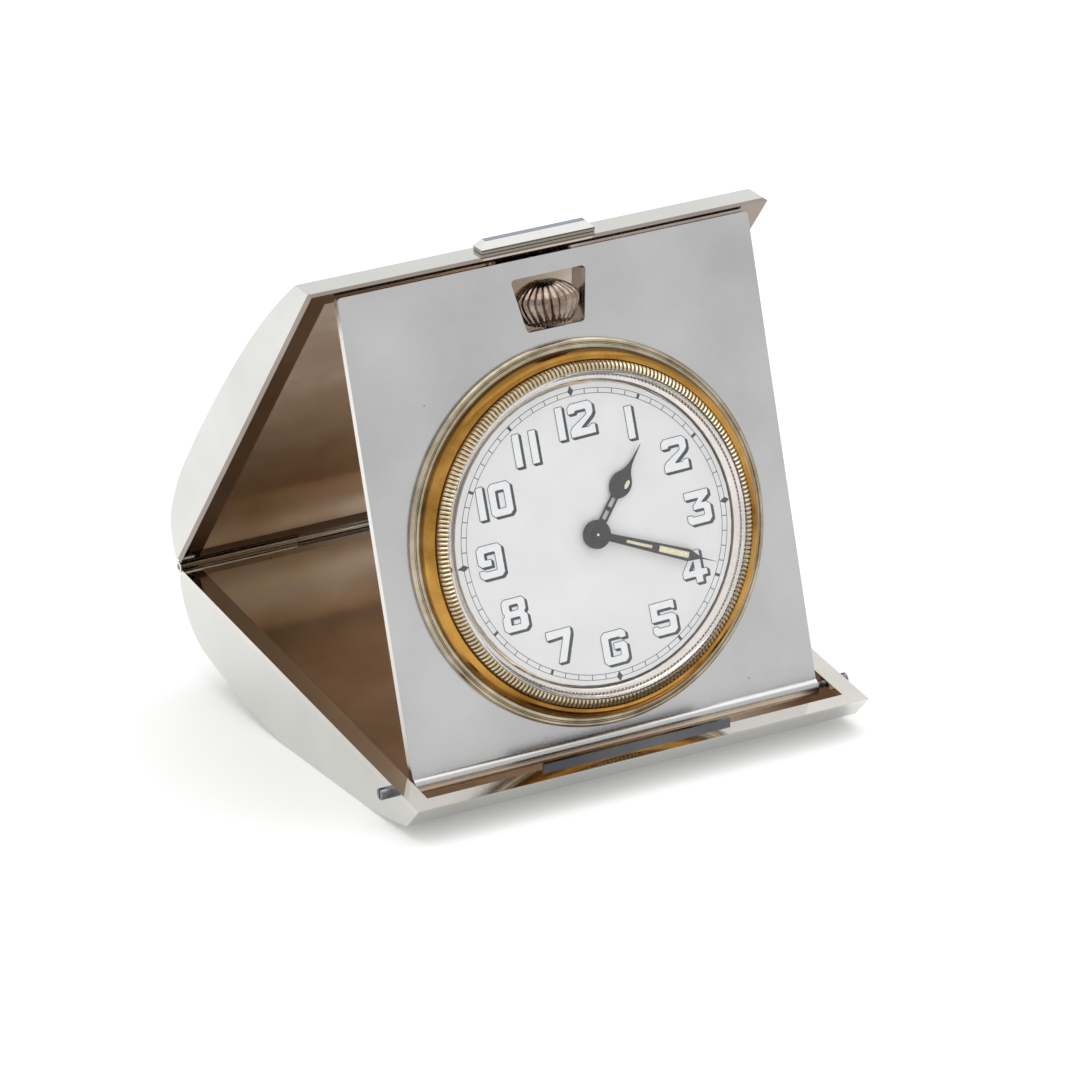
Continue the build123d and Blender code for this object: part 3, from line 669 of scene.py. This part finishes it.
def fluted_crown():
    # the onion is turned whole, and then its corners are drawn in along the flutes
    bm = bmesh.new()
    outline(bm, [(radius, crown_bottom + height, 0) for radius, height in crown_outline], closed=False)
    bmesh.ops.subdivide_edges(bm, edges=bm.edges[:], cuts=2, smooth=1.0)
    bmesh.ops.spin(bm, geom=bm.verts[:] + bm.edges[:], cent=(0, 0, 0), axis=(0, 1, 0), angle=math.tau,
                   steps=flutes * steps_each, use_merge=True)
    for vert in bm.verts:
        radius = math.hypot(vert.co.x, vert.co.z)
        height = (vert.co.y - crown_bottom) / crown_height
        if radius > plain_radius and plain_height < height:
            wave = abs(math.sin(flutes / 2 * math.atan2(vert.co.z, vert.co.x)))
            depth = flute_depth * min(1.0, radius / flute_full_radius) * (1 - wave) ** flute_sharpness
            vert.co.x *= 1 - depth / radius
            vert.co.z *= 1 - depth / radius
    return bm


crown_place = dial_place @ Matrix.Translation((0, 0, stem_level))
piece("onion_crown", fluted_crown(), crown_place, crown_painted_shade_silver, "crown", "polished_silver", "winding_crown",
      crisp=70.0)


# Finishes on the solids themselves

crease_angle = math.radians(28)


def smooth_by_angle():
    # merges the loose triangles and shades them smooth, with a crease where two faces turn by a larger angle
    group = bpy.data.node_groups.new("smooth_by_angle", "GeometryNodeTree")
    group.interface.new_socket("Geometry", in_out="INPUT", socket_type="NodeSocketGeometry")
    group.interface.new_socket("Geometry", in_out="OUTPUT", socket_type="NodeSocketGeometry")
    source = add(group, "NodeGroupInput")
    merged = add(group, "GeometryNodeMergeByDistance", {
        "Geometry": source.outputs[0], "Distance": weld * MM})
    soft = add(group, "GeometryNodeSetShadeSmooth", {"Geometry": merged.outputs[0], "Shade Smooth": True})
    turn = add(group, "GeometryNodeInputMeshEdgeAngle")
    crease = add(group, "FunctionNodeCompare", {0: turn.outputs["Unsigned Angle"], 1: crease_angle},
                 operation="GREATER_THAN")
    hard = add(group, "GeometryNodeSetShadeSmooth", {
        "Geometry": soft.outputs[0], "Selection": crease.outputs[0], "Shade Smooth": False}, domain="EDGE")
    add(group, "NodeGroupOutput", {0: hard.outputs[0]})
    return group


soft_shading = smooth_by_angle()
finishes = {
    plate_silver: ["face_plate"],
    shell_silver_low: ["lower_shell"],
    shell_silver_lid: ["lid_shell"],
    rim_silver: ["lower_rim", "lower_knuckles", "lid_knuckle"],
    lid_rim_tarnish_and_shade: ["lid_rim"],
    latch_painted_light_silver: ["latch_slide"],
    tongue_painted_shade_silver: ["latch_hook", "catch_tongue"],
    fitting_silver: ["window_box", "winding_crown", "bezel_flange"],
    gilt: ["gilt_bezel"],
    champagne: ["reeded_bezel", "case_ring", "back_cover"],
    steel: ["hinge_pin", "plate_pins", "winding_stem", "setting_lever", "centre_arbor"],
    movement_brass: ["main_plate", "movement_block", "hour_wheel", "minute_wheel"],
    dial_enamel: ["dial"],
    hand_black: ["hour_hand", "minute_hand", "cannon_pinion"],
    crystal_glass: ["crystal"],
}
for material, names in finishes.items():
    for name in names:
        node = nodes[name]
        node.data.materials.clear()
        node.data.materials.append(material)
        shading = node.modifiers.new("smooth_by_angle", "NODES")
        shading.node_group = soft_shading

# The plate's edges and its window are broken a little, as filed and polished sheet is
softened = nodes["face_plate"].modifiers.new("broken_edges", "BEVEL")
softened.width = 0.14 * MM
softened.segments = 2
softened.limit_method = "ANGLE"
softened.angle_limit = math.radians(50)


# Stage: a pale floor that stays white to the eye and keeps the shadow, soft light and the photograph's camera

def seen_ray(tree):
    # 1 for what the eye sees, in the open or in metal and glass, and 0 for light that falls on the object
    light = add(tree, "ShaderNodeLightPath")
    seen = light.outputs["Is Camera Ray"]
    for other in ("Is Glossy Ray", "Is Transmission Ray"):
        seen = arithmetic(tree, "MAXIMUM", seen, light.outputs[other])
    return seen


def studio_floor():
    bm = bmesh.new()
    bmesh.ops.create_grid(bm, x_segments=1, y_segments=1, size=1.5)
    mesh = bpy.data.meshes.new("studio_floor")
    bm.to_mesh(mesh)
    bm.free()
    floor = bpy.data.objects.new("studio_floor", mesh)
    scene.collection.objects.link(floor)
    material, tree = new_material("white_paper_floor")
    glow = 0.2
    lift = arithmetic(tree, "MULTIPLY", seen_ray(tree), glow)
    shader = add(tree, "ShaderNodeBsdfPrincipled", {
        "Base Color": linear("#ebebeb"), "Roughness": 0.9, "Emission Color": linear("#ffffff"),
        "Emission Strength": lift})
    show(tree, shader)
    mesh.materials.append(material)


def studio_world():
    # white to the eye, and a grey sky for the light that falls on the object
    world = bpy.data.worlds.new("soft_studio")
    world.use_nodes = True
    tree = world.node_tree
    tree.nodes.clear()
    scene.world = world
    sky = mixed(tree, seen_ray(tree), linear("#e1e1e1"), linear("#ffffff"))
    background = add(tree, "ShaderNodeBackground", {"Color": sky, "Strength": 1.0})
    add(tree, "ShaderNodeOutputWorld", {"Surface": background.outputs[0]})


def lamp(name, spot, aim, size, power):
    light = bpy.data.lights.new(name, "AREA")
    light.shape = "DISK"
    light.size = size
    light.energy = power
    made = bpy.data.objects.new(name, light)
    made.location = spot
    made.rotation_euler = (Vector(aim) - Vector(spot)).to_track_quat("-Z", "Y").to_euler()
    scene.collection.objects.link(made)


studio_floor()
studio_world()
lamp("overhead_softbox", (0.2, 0.1, 1.2), (0, 0, 0.03), size=2.0, power=11.5)

camera = bpy.data.cameras.new("photo_camera")
camera.sensor_width = 36.0
camera.lens = 213.335
camera.clip_start = 0.05
camera.clip_end = 20.0
viewer = bpy.data.objects.new("photo_camera", camera)
viewer.location = (-0.297168, -0.642619, 0.277346)
viewer.rotation_euler = [math.radians(turn) for turn in (69.9906, 3.8651, -26.5279)]
scene.collection.objects.link(viewer)
scene.camera = viewer
scene.view_settings.view_transform = "Standard"
